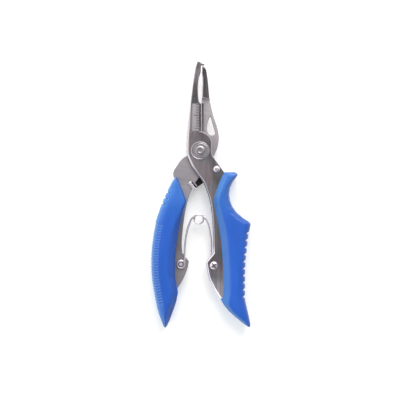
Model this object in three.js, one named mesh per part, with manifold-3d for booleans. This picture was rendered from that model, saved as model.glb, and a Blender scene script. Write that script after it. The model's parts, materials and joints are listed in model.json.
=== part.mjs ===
// Fishing pliers: a long hooked split-ring nose, a side cutter behind it, two
// moulded grips, a wire return spring between the handles and a swinging latch
// that holds them shut. Two flat steel levers cross at one pivot. The front
// lever runs from the left jaw to the right grip, the back lever from the right
// jaw to the left grip.
//
// Millimetres. The pliers lie flat: +Z is the pivot axis and +Y the way the nose
// points. Every shape below is drawn from the pivot, with z = 0 between the two
// levers. The last lines move the origin to the middle of the footprint.
import * as THREE from 'three';
import { mergeVertices } from 'three/addons/utils/BufferGeometryUtils.js';
import Module from 'manifold-3d';

const wasm = await Module();
wasm.setup();

// ---- driving dimensions ----------------------------------------------------
const leverThickness = 2.6;
const faceGap = 0.05; // from z = 0 to each lever's inner face
const leverTop = faceGap + leverThickness;
const noseTipHalf = 1.8; // half the nose's thickness at its tip
const noseTaperStart = 30;
const noseTaperEnd = 55;
const leverRear = -130; // y past the rear end of both levers
const leverReach = 40; // x past both levers' sides
const boreReach = 8; // every hole is cut this far above and below z = 0
const overrun = 1; // how far a cutting body reaches past what it cuts

const cutterBottom = 12.2;
const cutterTop = 28.4;
const cutterEdge = 0.5; // x of the front lever's cutting edge
const cutterGap = 0.25;
const cutterHeight = 1.0; // z of both cutting edges
const frontBevel = 1.0; // width of the bevel behind the front lever's edge
const frontBevelRun = 0.4; // how far that bevel runs on below the cutter
const ridgeBevel = 1.5; // width of the back lever's raised cutting ridge
const ridgeTop = 28.9; // y of the ridge's upper end

const gripHalf = 6.5;
const innerChamfer = 3.6;
const widestChamfer = 0.38; // of the grip's width
const innerWall = 0.45; // height of the inner side's upright wall, of the half thickness
const outerRound = 3.0;
const widestRound = 0.34; // of the grip's width
const outerWall = 0.36; // height of the outer side's upright wall, of the half thickness
const roundCorner = [0.3, 0.78]; // the rounding's middle: of its width, of the half thickness
const topThinning = { length: 5, share: 0.42 }; // the grips thin towards both ends
const tipThinning = { length: 14, share: 0.6 };
const heelLevel = -90.2; // y where the right grip's inner edge turns outward
const slotClearance = 0.1;
const toothPitch = 4.25;
const toothCount = 10;
const toothDepth = 1.1;
const toothHalf = 0.9;
const firstTooth = -49.6;

const sleeveRadius = 3.3;
const flangeRadius = 5.6;
const flangeHeight = 0.85;
const flangeBevel = 0.45;
const flangeRim = 1.2; // width of the raised rim round the flange
const flangeDish = 0.65; // height of the flange's floor inside its rim
const pinRadius = 2.1;
const washerRadius = 5.4;
const washerThickness = 0.7;
const holeClearance = 0.08; // radial, in every hole
const restGap = 0.05; // between faces that touch on the real tool

const latchPivot = [9.9, -11.05];
const latchThickness = 1.25;
const latchTop = -leverTop - 0.1;
const latchArmHalf = 2.1;
const latchBossRadius = 2.9;
const latchCollarRadius = 2.4;
const latchWasherThickness = 0.5;
const rivetRadius = 1.3; // in the front lever
const rivetTailRadius = 1.2; // in the latch
const lipCentre = [-4.6, -21.2];
const lipAngle = THREE.MathUtils.degToRad(-50);
const lipHalfLength = 3.1;
const lipThickness = 1.5;
const lipLow = 0.15;
const lipHeight = 1.3;
const riserLength = 1.7;
const catchSlot = { left: 1.15, right: 1.5, start: -3.6, end: 6 };

const wireRadius = 0.6;
const coilCentre = [-0.85, -41.05];
const coilRadius = 2.75;
const coilLeaves = THREE.MathUtils.degToRad(40); // from straight up, each way
const eyeRadius = 2.2;
const springScrewLeft = [-11.6, -68.4];
const springScrewRight = [8.25, -69.0];
const springScrewRadius = 1.1;
const screwReach = 2; // how far each shank reaches past z = 0
const screwSlot = {
  length: 2.9, width: 0.6, floor: 0.7, turn: 0.6, // turn in radians
};

// Ends of the turned pieces, as [radius, distance from the face they stand on].
const pinButton = [[3, 0], [3, 0.3], [2.3, 0.85], [1.2, 0.95], [0.7, 0.6], [0, 0.5]];
const pinTail = [[3.3, 0], [3.3, 0.5], [2.2, 1.1], [0, 1.1]];
const rivetHead = [[2, 0], [1.85, 0.55], [1.2, 1], [0, 1.15]];
const rivetTail = [[2, 0], [2, 0.3], [1.3, 0.7], [0, 0.7]];
const screwHead = [[2.5, 0], [2.45, 0.5], [1.9, 1.05], [1.1, 1.3], [0, 1.35]];
const nutBody = [[2.1, 0], [2.1, 0.6], [1.6, 1.05], [0.9, 1.25], [0, 1.3]];

const origin = [0, 0]; // the pivot

// ---- materials -------------------------------------------------------------
function metal(name, color, roughness) {
  return new THREE.MeshStandardMaterial({ name, color, roughness, metalness: 1 });
}
const polishedSteel = metal('polished_steel', 0x6f6d70, 0.32);
const mattSteel = metal('matt_steel', 0xa09d9d, 0.5);
const brightSteel = metal('bright_steel', 0xc9c8ca, 0.25);
const latchSteel = metal('latch_steel', 0x55555a, 0.4);
const springWire = metal('spring_wire', 0xbdb9b6, 0.25);
const bluePlastic = new THREE.MeshStandardMaterial({
  name: 'blue_plastic', color: 0x3566d0, roughness: 0.42, metalness: 0,
});

// ---- solids from three.js geometry -------------------------------------------
function solid(geometry) {
  geometry.deleteAttribute('normal');
  geometry.deleteAttribute('uv');
  const merged = mergeVertices(geometry, 1e-4);
  return new wasm.Manifold(new wasm.Mesh({
    numProp: 3,
    vertProperties: new Float32Array(merged.attributes.position.array),
    triVerts: new Uint32Array(merged.index.array),
  }));
}

function node(name, body, material) {
  const data = body.getMesh();
  const geometry = new THREE.BufferGeometry();
  geometry.setAttribute('position', new THREE.BufferAttribute(data.vertProperties, 3));
  geometry.setIndex(new THREE.BufferAttribute(data.triVerts, 1));
  const flat = geometry.toNonIndexed();
  flat.computeVertexNormals();
  const mesh = new THREE.Mesh(flat, material);
  mesh.name = name;
  return mesh;
}

// A closed outline. A plain point is a straight run to it; a list of points is a
// smooth curve through them.
function outline(...runs) {
  const shape = new THREE.Shape();
  shape.moveTo(...runs[0]);
  for (const run of runs.slice(1)) {
    if (Array.isArray(run[0])) {
      shape.splineThru(run.map(([x, y]) => new THREE.Vector2(x, y)));
    } else {
      shape.lineTo(...run);
    }
  }
  return shape;
}

function plate(shape, low, high, curveSegments = 3) {
  const geometry = new THREE.ExtrudeGeometry(shape, {
    depth: high - low, bevelEnabled: false, curveSegments,
  });
  return solid(geometry.translate(0, 0, low));
}

function disc([x, y], radius, low, high, sides = 28) {
  const geometry = new THREE.CylinderGeometry(radius, radius, high - low, sides);
  return solid(geometry.rotateX(Math.PI / 2).translate(x, y, (low + high) / 2));
}

// A turned piece: the profile is [radius, z] pairs from the bottom of the axis to
// its top.
function turned([x, y], profile, sides = 28) {
  const points = profile.map(([radius, z]) => new THREE.Vector2(radius, z));
  const geometry = new THREE.LatheGeometry(points, sides);
  return solid(geometry.rotateX(Math.PI / 2).translate(x, y, 0));
}

// An end of a turned piece, standing on the face at height z or hanging from it.
function standing(z, end) {
  return end.map(([radius, away]) => [radius, z + away]);
}

function hanging(z, end) {
  return end.map(([radius, away]) => [radius, z - away]).reverse();
}

// A hole from top to bottom, or through one piece only.
function bore(centre, radius, low = -boreReach, high = boreReach) {
  return disc(centre, radius + holeClearance, low, high);
}

// A ring of round wire lying flat, its middle at height z.
function wireRing([x, y], radius, z, sides = 24) {
  const section = [];
  for (let i = 0; i <= 8; i += 1) {
    const turn = (i / 8) * 2 * Math.PI;
    section.push(new THREE.Vector2(
      radius + wireRadius * Math.cos(turn), z + wireRadius * Math.sin(turn)));
  }
  const geometry = new THREE.LatheGeometry(section, sides);
  return solid(geometry.rotateX(Math.PI / 2).translate(x, y, 0));
}

function wireAlong(points, z) {
  const path = new THREE.CatmullRomCurve3(points.map(([x, y]) => new THREE.Vector3(x, y, z)));
  const section = new THREE.Shape();
  section.absarc(0, 0, wireRadius, 0, 2 * Math.PI);
  return solid(new THREE.ExtrudeGeometry(section, {
    steps: 18, extrudePath: path, curveSegments: 4, bevelEnabled: false,
  }));
}

// A prism that runs along +Y from low to high, drawn as [x, z] corners.
function prismAlongY(corners, low, high) {
  const shape = new THREE.Shape(corners.map(([x, z]) => new THREE.Vector2(-x, z)));
  const geometry = new THREE.ExtrudeGeometry(shape, { depth: high - low, bevelEnabled: false });
  geometry.applyMatrix4(new THREE.Matrix4().makeBasis(
    new THREE.Vector3(-1, 0, 0), new THREE.Vector3(0, 0, 1), new THREE.Vector3(0, 1, 0)));
  return solid(geometry.translate(0, low, 0));
}

// ---- levers ------------------------------------------------------------------
// The nose thins towards its tip: both levers are cut to this side view, drawn as
// [y, z] corners.
function sideTaper() {
  const corners = [
    [leverRear, -leverTop], [noseTaperStart, -leverTop], [noseTaperEnd, -noseTipHalf],
    [noseTaperEnd, noseTipHalf], [noseTaperStart, leverTop], [leverRear, leverTop],
  ];
  const shape = new THREE.Shape(corners.map(([y, z]) => new THREE.Vector2(y, z)));
  const geometry = new THREE.ExtrudeGeometry(shape, { depth: 2 * leverReach, bevelEnabled: false });
  geometry.applyMatrix4(new THREE.Matrix4().makeBasis(
    new THREE.Vector3(0, 1, 0), new THREE.Vector3(0, 0, 1), new THREE.Vector3(1, 0, 0)));
  return solid(geometry.translate(-leverReach, 0, 0));
}

const frontTang = [
  [14.6, -13], [15.2, -17], [13.2, -24], [13.0, -31], [15.6, -40], [17.6, -52],
  [18.4, -66], [18.2, -80], [16.4, -90.6],
];
const frontLeverOutline = outline(
  [-1.7, 54.4],
  [2.7, 52.2], [2.7, 51.6], [0.6, 51.5], [0.2, 46.6],
  [[-0.8, 44.1], [-1.35, 39], [-1.35, 34.6], [-0.9, 30.6], [-0.2, cutterTop + 0.3]],
  [cutterEdge, cutterTop], [cutterEdge, 11.9], [0.9, 11.7],
  [[3.4, 10.4], [5.5, 8.6], [6.7, 6], [6.8, 3], [6.8, 0], [7.5, -3.1]],
  ...frontTang,
  [12, -88.8],
  [[8.2, -82.7], [5.3, -76.7], [3.9, -70.3], [3.5, -66.8]],
  [7.9, -61.4],
  [[7.8, -57.7], [7.5, -45.1], [7.0, -38.7], [6.3, -33.2], [4.95, -27.2],
    [1.8, -19.1], [-0.8, -15.6], [-4.5, -10.1], [-6.6, -5.8], [-8.1, -2.1]],
  [[-8.25, 2], [-7.9, 9.7], [-7.4, 14]],
  [-5.9, 28.4], [-4.5, 40.5], [-3.0, 50],
);

const backTang = [
  [-17, -86.5], [-20.6, -84], [-24, -75], [-25.2, -60], [-23.6, -47], [-20.4, -35],
  [-17.6, -25], [-15.4, -18],
];
const backLeverOutline = outline(
  [1.1, 51], [2.7, 50.8],
  [3.9, 48.9], [4.8, 42.9], [5.6, 33.8],
  [[6.0, 30], [6.9, 25.5], [8.1, 21], [9.7, 16.3], [10.8, 12.1], [11.3, 8], [10.7, 3],
    [9.4, -0.6], [8.1, -3.3]],
  [[6.4, -6.8], [2.5, -11.8], [-0.3, -15.6], [-3.1, -19.3]],
  [-1.6, -21.2], [-2.2, -22], [-4.9, -22.7],
  [[-7.5, -29.6], [-9.4, -38.7], [-10.4, -46], [-11.1, -53], [-11.2, -57.5], [-10.9, -61.4]],
  [-6.9, -66.7],
  [[-7.5, -70.3], [-9.2, -75], [-11.2, -79.2], [-13.8, -83]],
  ...backTang,
  [[-16.2, -15], [-16.4, -13.3], [-15.9, -11.5]],
  [-12.2, -6], [-10.3, -4.1], [-7.6, -2.6],
  [[-6.9, 0], [-6.8, 3.6], [-6.2, 7], [-3.8, 10]],
  [-0.2, cutterBottom], [cutterEdge + cutterGap, cutterBottom],
  [cutterEdge + cutterGap, 29],
  [[0.95, 31], [1.2, 36], [1.45, 41], [1.3, 44.6]],
  [0.9, 46.6],
);

// Where each jaw's nose is as thick as both levers together.
const leftNoseOutline = outline(
  [-8, cutterTop + 0.3], [-0.2, cutterTop + 0.3], [6, 32], [6, 58], [-8, 58],
);
const rightNoseOutline = outline([0, 32.2], [2.3, 31.7], [7.5, 30.7], [7.5, 58], [0, 58]);

function fullThicknessNose(leverOutline, noseOutline) {
  const wide = plate(leverOutline, -leverTop, leverTop);
  return wide.intersect(plate(noseOutline, -leverTop - overrun, leverTop + overrun));
}

function holes(body, ...bores) {
  return bores.reduce((rest, [centre, radius]) => rest.subtract(bore(centre, radius)), body);
}

function frontLever() {
  const bevel = prismAlongY([
    [cutterEdge - frontBevel, leverTop], [cutterEdge - frontBevel, leverTop + overrun],
    [cutterEdge + overrun, leverTop + overrun], [cutterEdge + overrun, cutterHeight],
    [cutterEdge, cutterHeight],
  ], cutterBottom - frontBevelRun, cutterTop + overrun);
  const body = plate(frontLeverOutline, faceGap, leverTop)
    .add(fullThicknessNose(frontLeverOutline, leftNoseOutline))
    .intersect(sideTaper())
    .subtract(bevel);
  return holes(
    body, [origin, sleeveRadius], [latchPivot, rivetRadius], [springScrewRight, springScrewRadius]);
}

// A drop-shaped window lightens the right jaw beside the cutter.
const windowOutline = outline(
  [5.8, 20.8],
  [[4.6, 17.5], [4.1, 13.8], [4.7, 11]],
  [[5.9, 9.8], [7.4, 9.4], [8.6, 10], [8.9, 11.3]],
  [6.5, 20],
);

function backLever() {
  const left = cutterEdge + cutterGap;
  const ridge = prismAlongY([
    [left, -leverThickness / 2], [left, cutterHeight],
    [left + ridgeBevel, -faceGap], [left + ridgeBevel, -leverThickness / 2],
  ], cutterBottom, ridgeTop);
  const slotLength = catchSlot.end - catchSlot.start;
  const slot = new THREE.BoxGeometry(
    slotLength, catchSlot.left + catchSlot.right, 2 * boreReach)
    .translate(catchSlot.start + slotLength / 2, (catchSlot.right - catchSlot.left) / 2, 0)
    .rotateZ(lipAngle)
    .translate(...lipCentre, 0);
  const body = plate(backLeverOutline, -leverTop, -faceGap)
    .add(fullThicknessNose(backLeverOutline, rightNoseOutline))
    .intersect(sideTaper())
    .add(ridge)
    .subtract(plate(windowOutline, -boreReach, boreReach))
    .subtract(solid(slot));
  return holes(body, [origin, sleeveRadius], [springScrewLeft, springScrewRadius]);
}

// ---- grips -------------------------------------------------------------------
// Each grip's two edges as [y, x] points from its top to its lower tip.
const rightGripInner = [
  [-12.9, 13.9], [-20.5, 10.8], [-27.8, 8.4], [-31.5, 8.2], [-38.7, 9.5], [-44.1, 10.8],
  [-51.3, 12.2], [-62.2, 13.2], [-73.1, 13.8], [-87.4, 13.8], [-88.8, 11.9], [-93, 14.4],
  [-96.6, 17.4], [-100.3, 21.6], [-103.9, 25.9], [-106.2, 28.9],
];
const rightGripOuter = [
  [-12.9, 21.4], [-14.2, 22.8], [-15.4, 22.2], [-18.7, 19.6], [-22.3, 18], [-26, 17.4],
  [-29.6, 17.9], [-33.2, 19.2], [-36.8, 21.6], [-40.5, 25.9], [-42.5, 29.2], [-43.8, 30.4],
  [-45.6, 30.2], [-51.3, 28.9], [-58.6, 28.2], [-65.8, 27.4], [-73.1, 27.1], [-89.4, 27],
  [-96.6, 28.6], [-103.9, 30.3], [-106.2, 30.2],
];
const leftGripInner = [
  [-16, -14.1], [-16.9, -13.4], [-20.5, -12], [-26, -9.8], [-30.4, -8.1], [-35, -9.7],
  [-42.3, -11.6], [-49.5, -13.4], [-56.8, -14.4], [-65.8, -15.2], [-76.7, -15.2],
  [-82.1, -13.8], [-85.8, -13.4], [-91.2, -14.5], [-96.6, -16.4], [-102.1, -18.4],
  [-105.4, -19.9], [-106.6, -20.8],
];
const leftGripOuter = [
  [-16, -15.1], [-18.7, -17], [-22.3, -18.9], [-26, -20.7], [-29.6, -22.3], [-35, -24.4],
  [-42.3, -26.8], [-49.5, -28.2], [-56.8, -29.2], [-64, -29.7], [-71.3, -29.7],
  [-78.5, -29.1], [-85.8, -27.9], [-93, -26.5], [-98.5, -24.9], [-102.1, -23.6],
  [-105.4, -22.3], [-106.6, -21.4],
];

// x at height y on an edge, by straight lines between its points.
function edgeAt(edge, y) {
  let i = 1;
  while (i < edge.length - 1 && y < edge[i][0]) i += 1;
  const [fromY, fromX] = edge[i - 1];
  const [toY, toX] = edge[i];
  return THREE.MathUtils.lerp(fromX, toX, (y - fromY) / (toY - fromY));
}

// How far the nearest of the right grip's cut notches goes in at height y.
function notchAt(y) {
  const tooth = THREE.MathUtils.clamp(
    Math.round((firstTooth - y) / toothPitch), 0, toothCount - 1);
  const away = Math.abs(y - (firstTooth - tooth * toothPitch));
  return toothDepth * Math.max(0, 1 - away / toothHalf);
}

// Half the grip's thickness: full along its length, less towards both ends.
function halfThickness(fromTop, fromTip) {
  const thinned = (away, { length, share }) => 1 - share * (1 - Math.min(1, away / length)) ** 2;
  return gripHalf * thinned(fromTop, topThinning) * thinned(fromTip, tipThinning);
}

// One level of a grip, counter-clockwise from above: a flat land on both faces, a
// broad chamfer on the inner side (towards the other handle) and a rounded outer
// side.
function gripSection(y, inner, outer, half) {
  const towards = Math.sign(outer - inner);
  const width = Math.abs(outer - inner);
  const chamfer = Math.min(innerChamfer, widestChamfer * width);
  const round = Math.min(outerRound, widestRound * width);
  const [cornerAlong, cornerHigh] = roundCorner;
  const upper = [
    [0, innerWall * half], [chamfer, half], [width - round, half],
    [width - cornerAlong * round, cornerHigh * half], [width, outerWall * half],
  ];
  const lower = upper.map(([along, z]) => [along, -z]).reverse();
  return [...upper, ...lower].map(([along, z]) => new THREE.Vector3(inner + towards * along, y, z));
}

// A closed skin over a stack of sections with equal numbers of points.
function loft(sections) {
  const around = sections[0].length;
  const positions = sections.flat().flatMap((point) => point.toArray());
  const index = [];
  for (let i = 0; i < sections.length - 1; i += 1) {
    for (let j = 0; j < around; j += 1) {
      const here = i * around + j;
      const next = i * around + ((j + 1) % around);
      index.push(here, next, here + around, next, next + around, here + around);
    }
  }
  const last = (sections.length - 1) * around;
  for (let j = 1; j < around - 1; j += 1) {
    index.push(0, j + 1, j, last, last + j, last + j + 1);
  }
  const geometry = new THREE.BufferGeometry();
  geometry.setAttribute('position', new THREE.Float32BufferAttribute(positions, 3));
  geometry.setIndex(index);
  return geometry;
}

function grip(innerEdge, outerEdge, levels, notch) {
  const top = levels[0];
  const tip = levels[levels.length - 1];
  const sections = levels.map((y) => {
    const inner = edgeAt(innerEdge, y);
    const outer = edgeAt(outerEdge, y);
    const cut = notch(y) * Math.sign(outer - inner);
    return gripSection(y, inner, outer - cut, halfThickness(top - y, y - tip));
  });
  if (outerEdge[0][1] > innerEdge[0][1]) sections.forEach((section) => section.reverse());
  return solid(loft(sections));
}

// The lever's tang grown by a small clearance, which the grip is moulded around.
function tangRoom(leverOutline, low, high) {
  const steps = [[1, 0], [-1, 0], [0, 1], [0, -1]];
  const copies = steps.map(([x, y]) => plate(leverOutline, low, high)
    .translate([x * slotClearance, y * slotClearance, 0]));
  return copies.reduce((all, copy) => all.add(copy));
}

const edgeLevels = (...edges) => [...new Set(edges.flat().map(([y]) => y))].sort((a, b) => b - a);

function rightGrip() {
  const levels = edgeLevels(rightGripInner, rightGripOuter)
    .filter((y) => y > firstTooth + 2 * toothHalf || y < firstTooth - toothCount * toothPitch);
  for (let tooth = 0; tooth < toothCount; tooth += 1) {
    const notch = firstTooth - tooth * toothPitch;
    levels.push(notch + toothHalf, notch, notch - toothHalf);
  }
  levels.push(heelLevel);
  levels.sort((a, b) => b - a);
  return grip(rightGripInner, rightGripOuter, levels, notchAt)
    .subtract(tangRoom(frontLeverOutline, faceGap - slotClearance, leverTop + slotClearance));
}

function leftGrip() {
  return grip(leftGripInner, leftGripOuter, edgeLevels(leftGripInner, leftGripOuter), () => 0)
    .subtract(tangRoom(backLeverOutline, -leverTop - slotClearance, slotClearance - faceGap));
}

// ---- pivot -------------------------------------------------------------------
const flangeLow = leverTop + restGap;

function pivotSleeve() {
  const body = turned(origin, [
    [0, -leverTop], [sleeveRadius, -leverTop], [sleeveRadius, flangeLow],
    [flangeRadius, flangeLow], [flangeRadius, flangeLow + flangeHeight - flangeBevel],
    [flangeRadius - flangeBevel, flangeLow + flangeHeight],
    [flangeRadius - 2 * flangeBevel, flangeLow + flangeHeight],
    [flangeRadius - flangeRim, flangeLow + flangeDish], [0, flangeLow + flangeDish],
  ], 36);
  return body.subtract(bore(origin, pinRadius));
}

function pivotPin() {
  const buttonLow = flangeLow + flangeDish + restGap;
  const backFace = -flangeLow - washerThickness - restGap;
  return turned(origin, [
    ...hanging(backFace, pinTail), [pinRadius, backFace],
    [pinRadius, buttonLow], ...standing(buttonLow, pinButton),
  ]);
}

function pivotWasher() {
  return disc(origin, washerRadius, -flangeLow - washerThickness, -flangeLow, 36)
    .subtract(bore(origin, pinRadius));
}

// ---- latch -------------------------------------------------------------------
// The arm swings behind the back lever. Its end is bent up in front of the catch
// slot and folded over the back lever as a lip, which the thumb pushes.
function latch() {
  const toLip = new THREE.Vector2(lipCentre[0] - latchPivot[0], lipCentre[1] - latchPivot[1]);
  const reach = toLip.length();
  const armAngle = toLip.angle();
  const arm = new THREE.BoxGeometry(reach, 2 * latchArmHalf, latchThickness)
    .translate(reach / 2, 0, latchTop - latchThickness / 2)
    .rotateZ(armAngle)
    .translate(...latchPivot, 0);
  const alongLip = (from, to, low, high) => new THREE.BoxGeometry(to - from, lipThickness, high - low)
    .translate((from + to) / 2, 0, (low + high) / 2)
    .rotateZ(lipAngle)
    .translate(...lipCentre, 0);
  const foot = alongLip(-lipHalfLength, lipHalfLength, latchTop - latchThickness, latchTop);
  const riser = alongLip(
    lipHalfLength - riserLength, lipHalfLength, latchTop - latchThickness, lipHeight);
  const lip = alongLip(-lipHalfLength, lipHalfLength, lipLow, lipHeight);
  return disc(latchPivot, latchBossRadius, latchTop - latchThickness, latchTop)
    .add(solid(arm)).add(solid(foot)).add(solid(riser)).add(solid(lip))
    .subtract(bore(latchPivot, rivetTailRadius));
}

// A rivet with a thick collar that holds the latch clear of the levers.
function latchRivet() {
  const headLow = leverTop + restGap;
  const collarLow = latchTop + restGap;
  const tailTop = latchTop - latchThickness - latchWasherThickness - 2 * restGap;
  return turned(latchPivot, [
    ...hanging(tailTop, rivetTail), [rivetTailRadius, tailTop], [rivetTailRadius, collarLow],
    [latchCollarRadius, collarLow], [latchCollarRadius, 0],
    [rivetRadius, 0], [rivetRadius, headLow], ...standing(headLow, rivetHead),
  ], 24);
}

function latchWasher() {
  const top = latchTop - latchThickness - restGap;
  return disc(latchPivot, latchCollarRadius, top - latchWasherThickness, top, 24)
    .subtract(bore(latchPivot, rivetTailRadius));
}

// ---- return spring -------------------------------------------------------------
// One wire, drawn as two halves that each hold a turn of the coil: the left half
// above z = 0 and the right half below it.
function springHalf(side, eye, leg) {
  const z = side * (faceGap + wireRadius);
  const leaves = [
    coilCentre[0] - side * coilRadius * Math.sin(coilLeaves),
    coilCentre[1] + coilRadius * Math.cos(coilLeaves),
  ];
  const meetsEye = [eye[0] + side * eyeRadius, eye[1]];
  return wireRing(coilCentre, coilRadius, z)
    .add(wireAlong([leaves, ...leg, meetsEye], z))
    .add(wireRing(eye, eyeRadius, z));
}

const leftLeg = [[-4.9, -40.7], [-6.3, -43.4], [-7.7, -47.7], [-8.8, -53.5], [-9.35, -60]];
const rightLeg = [[3.0, -40.7], [4.4, -43.4], [5.6, -47.7], [6.45, -53.5], [6.6, -60]];

// side is 1 where the head is on the front (right handle), -1 where it is behind.
function springScrew(centre, side) {
  const headLow = leverTop + restGap;
  const body = turned(centre, [
    [0, -screwReach], [springScrewRadius, -screwReach], [springScrewRadius, headLow],
    ...standing(headLow, screwHead),
  ], 24);
  const { length, width, floor, turn } = screwSlot;
  const slots = [0, Math.PI / 2].map((quarter) => solid(
    new THREE.BoxGeometry(length, width, 2 * overrun)
      .rotateZ(turn + quarter)
      .translate(...centre, headLow + floor + overrun)));
  const driven = body.subtract(slots[0]).subtract(slots[1]);
  return side > 0 ? driven : driven.mirror([0, 0, 1]);
}

function springNut(centre, side) {
  const low = 2 * (faceGap + wireRadius) + restGap;
  const body = turned(centre, [[0, low], ...standing(low, nutBody)], 24);
  const bored = body.subtract(bore(centre, springScrewRadius, 0, screwReach + 2 * restGap));
  return side > 0 ? bored : bored.mirror([0, 0, 1]);
}

// ---- assembly ------------------------------------------------------------------
const group = new THREE.Group();
group.add(
  node('back_lever', backLever(), mattSteel),
  node('front_lever', frontLever(), polishedSteel),
  node('left_grip', leftGrip(), bluePlastic),
  node('right_grip', rightGrip(), bluePlastic),
  node('pivot_sleeve', pivotSleeve(), brightSteel),
  node('pivot_pin', pivotPin(), brightSteel),
  node('pivot_washer', pivotWasher(), brightSteel),
  node('latch', latch(), latchSteel),
  node('latch_rivet', latchRivet(), brightSteel),
  node('latch_washer', latchWasher(), brightSteel),
  node('spring_left_arm', springHalf(1, springScrewLeft, leftLeg), springWire),
  node('spring_right_arm', springHalf(-1, springScrewRight, rightLeg), springWire),
  node('spring_screw_left', springScrew(springScrewLeft, -1), brightSteel),
  node('spring_screw_right', springScrew(springScrewRight, 1), brightSteel),
  node('spring_nut_left', springNut(springScrewLeft, 1), brightSteel),
  node('spring_nut_right', springNut(springScrewRight, -1), brightSteel),
);

const footprint = new THREE.Box3().setFromObject(group);
const middle = footprint.getCenter(new THREE.Vector3());
group.position.set(-middle.x, -middle.y, -footprint.min.z);

export default group;
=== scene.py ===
"""Fishing pliers, lying on a pale studio floor and seen from straight above.

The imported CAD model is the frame. Its levers and latch are copied and given ground
edges; the grips, rivets, screws and the spring are made again as smooth meshes where
the frame says they are. Lengths named in millimetres are turned into metres by MM.
"""
import json
import math
from contextlib import contextmanager

import bmesh
import bpy
import numpy as np
from mathutils import Matrix, Vector
from mathutils.bvhtree import BVHTree
from mathutils.geometry import delaunay_2d_cdt


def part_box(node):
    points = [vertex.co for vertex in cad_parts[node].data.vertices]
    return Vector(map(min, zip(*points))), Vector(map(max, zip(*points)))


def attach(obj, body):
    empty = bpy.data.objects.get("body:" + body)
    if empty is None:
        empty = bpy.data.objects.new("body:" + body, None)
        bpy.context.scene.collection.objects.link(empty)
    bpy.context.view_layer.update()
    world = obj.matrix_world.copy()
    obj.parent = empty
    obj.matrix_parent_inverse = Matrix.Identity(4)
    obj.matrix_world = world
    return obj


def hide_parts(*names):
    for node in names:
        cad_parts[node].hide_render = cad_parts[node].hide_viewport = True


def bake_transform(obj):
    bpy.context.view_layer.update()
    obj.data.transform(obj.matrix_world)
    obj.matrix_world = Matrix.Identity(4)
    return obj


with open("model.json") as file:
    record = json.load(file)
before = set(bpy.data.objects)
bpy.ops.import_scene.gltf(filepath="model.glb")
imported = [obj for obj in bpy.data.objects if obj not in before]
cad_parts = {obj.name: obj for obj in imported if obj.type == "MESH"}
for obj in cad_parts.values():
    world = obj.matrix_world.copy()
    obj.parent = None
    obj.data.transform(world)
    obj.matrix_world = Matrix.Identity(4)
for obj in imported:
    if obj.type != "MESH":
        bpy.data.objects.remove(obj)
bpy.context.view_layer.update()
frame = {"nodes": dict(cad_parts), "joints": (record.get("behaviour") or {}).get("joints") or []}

MM = 0.001
joints = {joint["name"]: Vector(joint["pos_m"]) for joint in frame["joints"]}
PIVOT = joints["pivot"]
scene = bpy.context.scene


# ---- places ----
def at(x, y, z=0.0):
    """A point given in millimetres from the pivot, z from between the two levers."""
    return PIVOT + Vector((x, y, z)) * MM


def centre_of(node):
    """The middle of a CAD node's footprint, at the height between the levers."""
    low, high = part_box(node)
    middle = (low + high) / 2
    return Vector((middle.x, middle.y, PIVOT.z))


def in_mm(point):
    """The reverse of at: a point's millimetres from the pivot."""
    return (point - PIVOT) / MM


def ease(value, low, high):
    """0 below low and 1 above high, with a smooth rise between them."""
    share = np.clip((value - low) / (high - low), 0, 1)
    return share * share * (3 - 2 * share)


# ---- node trees ----
def feed(node, inputs):
    """Gives a node its inputs, by name or number: values to set or sockets to link."""
    for key, value in inputs.items():
        if isinstance(value, bpy.types.NodeSocket):
            node.id_data.links.new(value, node.inputs[key])
        else:
            node.inputs[key].default_value = value


def add(tree, kind, inputs, **settings):
    made = tree.nodes.new(kind)
    for name, value in settings.items():
        setattr(made, name, value)
    feed(made, inputs)
    return made


def follow(kind, inputs, **settings):
    """A node in the same tree as the sockets among its inputs."""
    sockets = [value for value in inputs.values() if isinstance(value, bpy.types.NodeSocket)]
    return add(sockets[0].id_data, kind, inputs, **settings)


def calc(operation, *values):
    return follow("ShaderNodeMath", dict(enumerate(values)), operation=operation).outputs[0]


def product(value, *others):
    for other in others:
        value = calc("MULTIPLY", value, other)
    return value


def vector_calc(operation, *values):
    made = follow("ShaderNodeVectorMath", dict(enumerate(values)), operation=operation)
    return made.outputs[0]


def ramp(value, low, high, to_low=0.0, to_high=1.0, smooth=True):
    made = follow("ShaderNodeMapRange", {
        "Value": value, "From Min": low, "From Max": high,
        "To Min": to_low, "To Max": to_high,
    })
    made.interpolation_type = "SMOOTHSTEP" if smooth else "LINEAR"
    return made.outputs["Result"]


def blend_colour(factor, colour_a, colour_b):
    sockets = {0: factor, 6: colour_a, 7: colour_b}
    return follow("ShaderNodeMix", sockets, data_type="RGBA").outputs[2]


def blend_value(factor, value_a, value_b):
    sockets = {0: factor, 2: value_a, 3: value_b}
    return follow("ShaderNodeMix", sockets, data_type="FLOAT").outputs[0]


def noise(vector, scale, detail=2.0, roughness=0.5):
    made = follow("ShaderNodeTexNoise", {
        "Vector": vector, "Scale": scale, "Detail": detail, "Roughness": roughness,
    })
    return made.outputs["Fac"]


STEEL_TINT = (1.0, 0.92, 0.965)


def grey(value):
    """A grey with the faint rose cast of stainless steel."""
    return tuple(value * share for share in STEEL_TINT) + (1.0,)


def scaled(colour, share):
    """A colour multiplied by share, no channel above 1."""
    return tuple(min(1.0, channel * share) for channel in colour[:3]) + (1.0,)


def start_material(name):
    """A new material, its main shader and the point on the object, in metres."""
    material = bpy.data.materials.new(name)
    material.use_nodes = True
    shader = material.node_tree.nodes["Principled BSDF"]
    point = add(material.node_tree, "ShaderNodeTexCoord", {}).outputs["Object"]
    return material, shader, point


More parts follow.
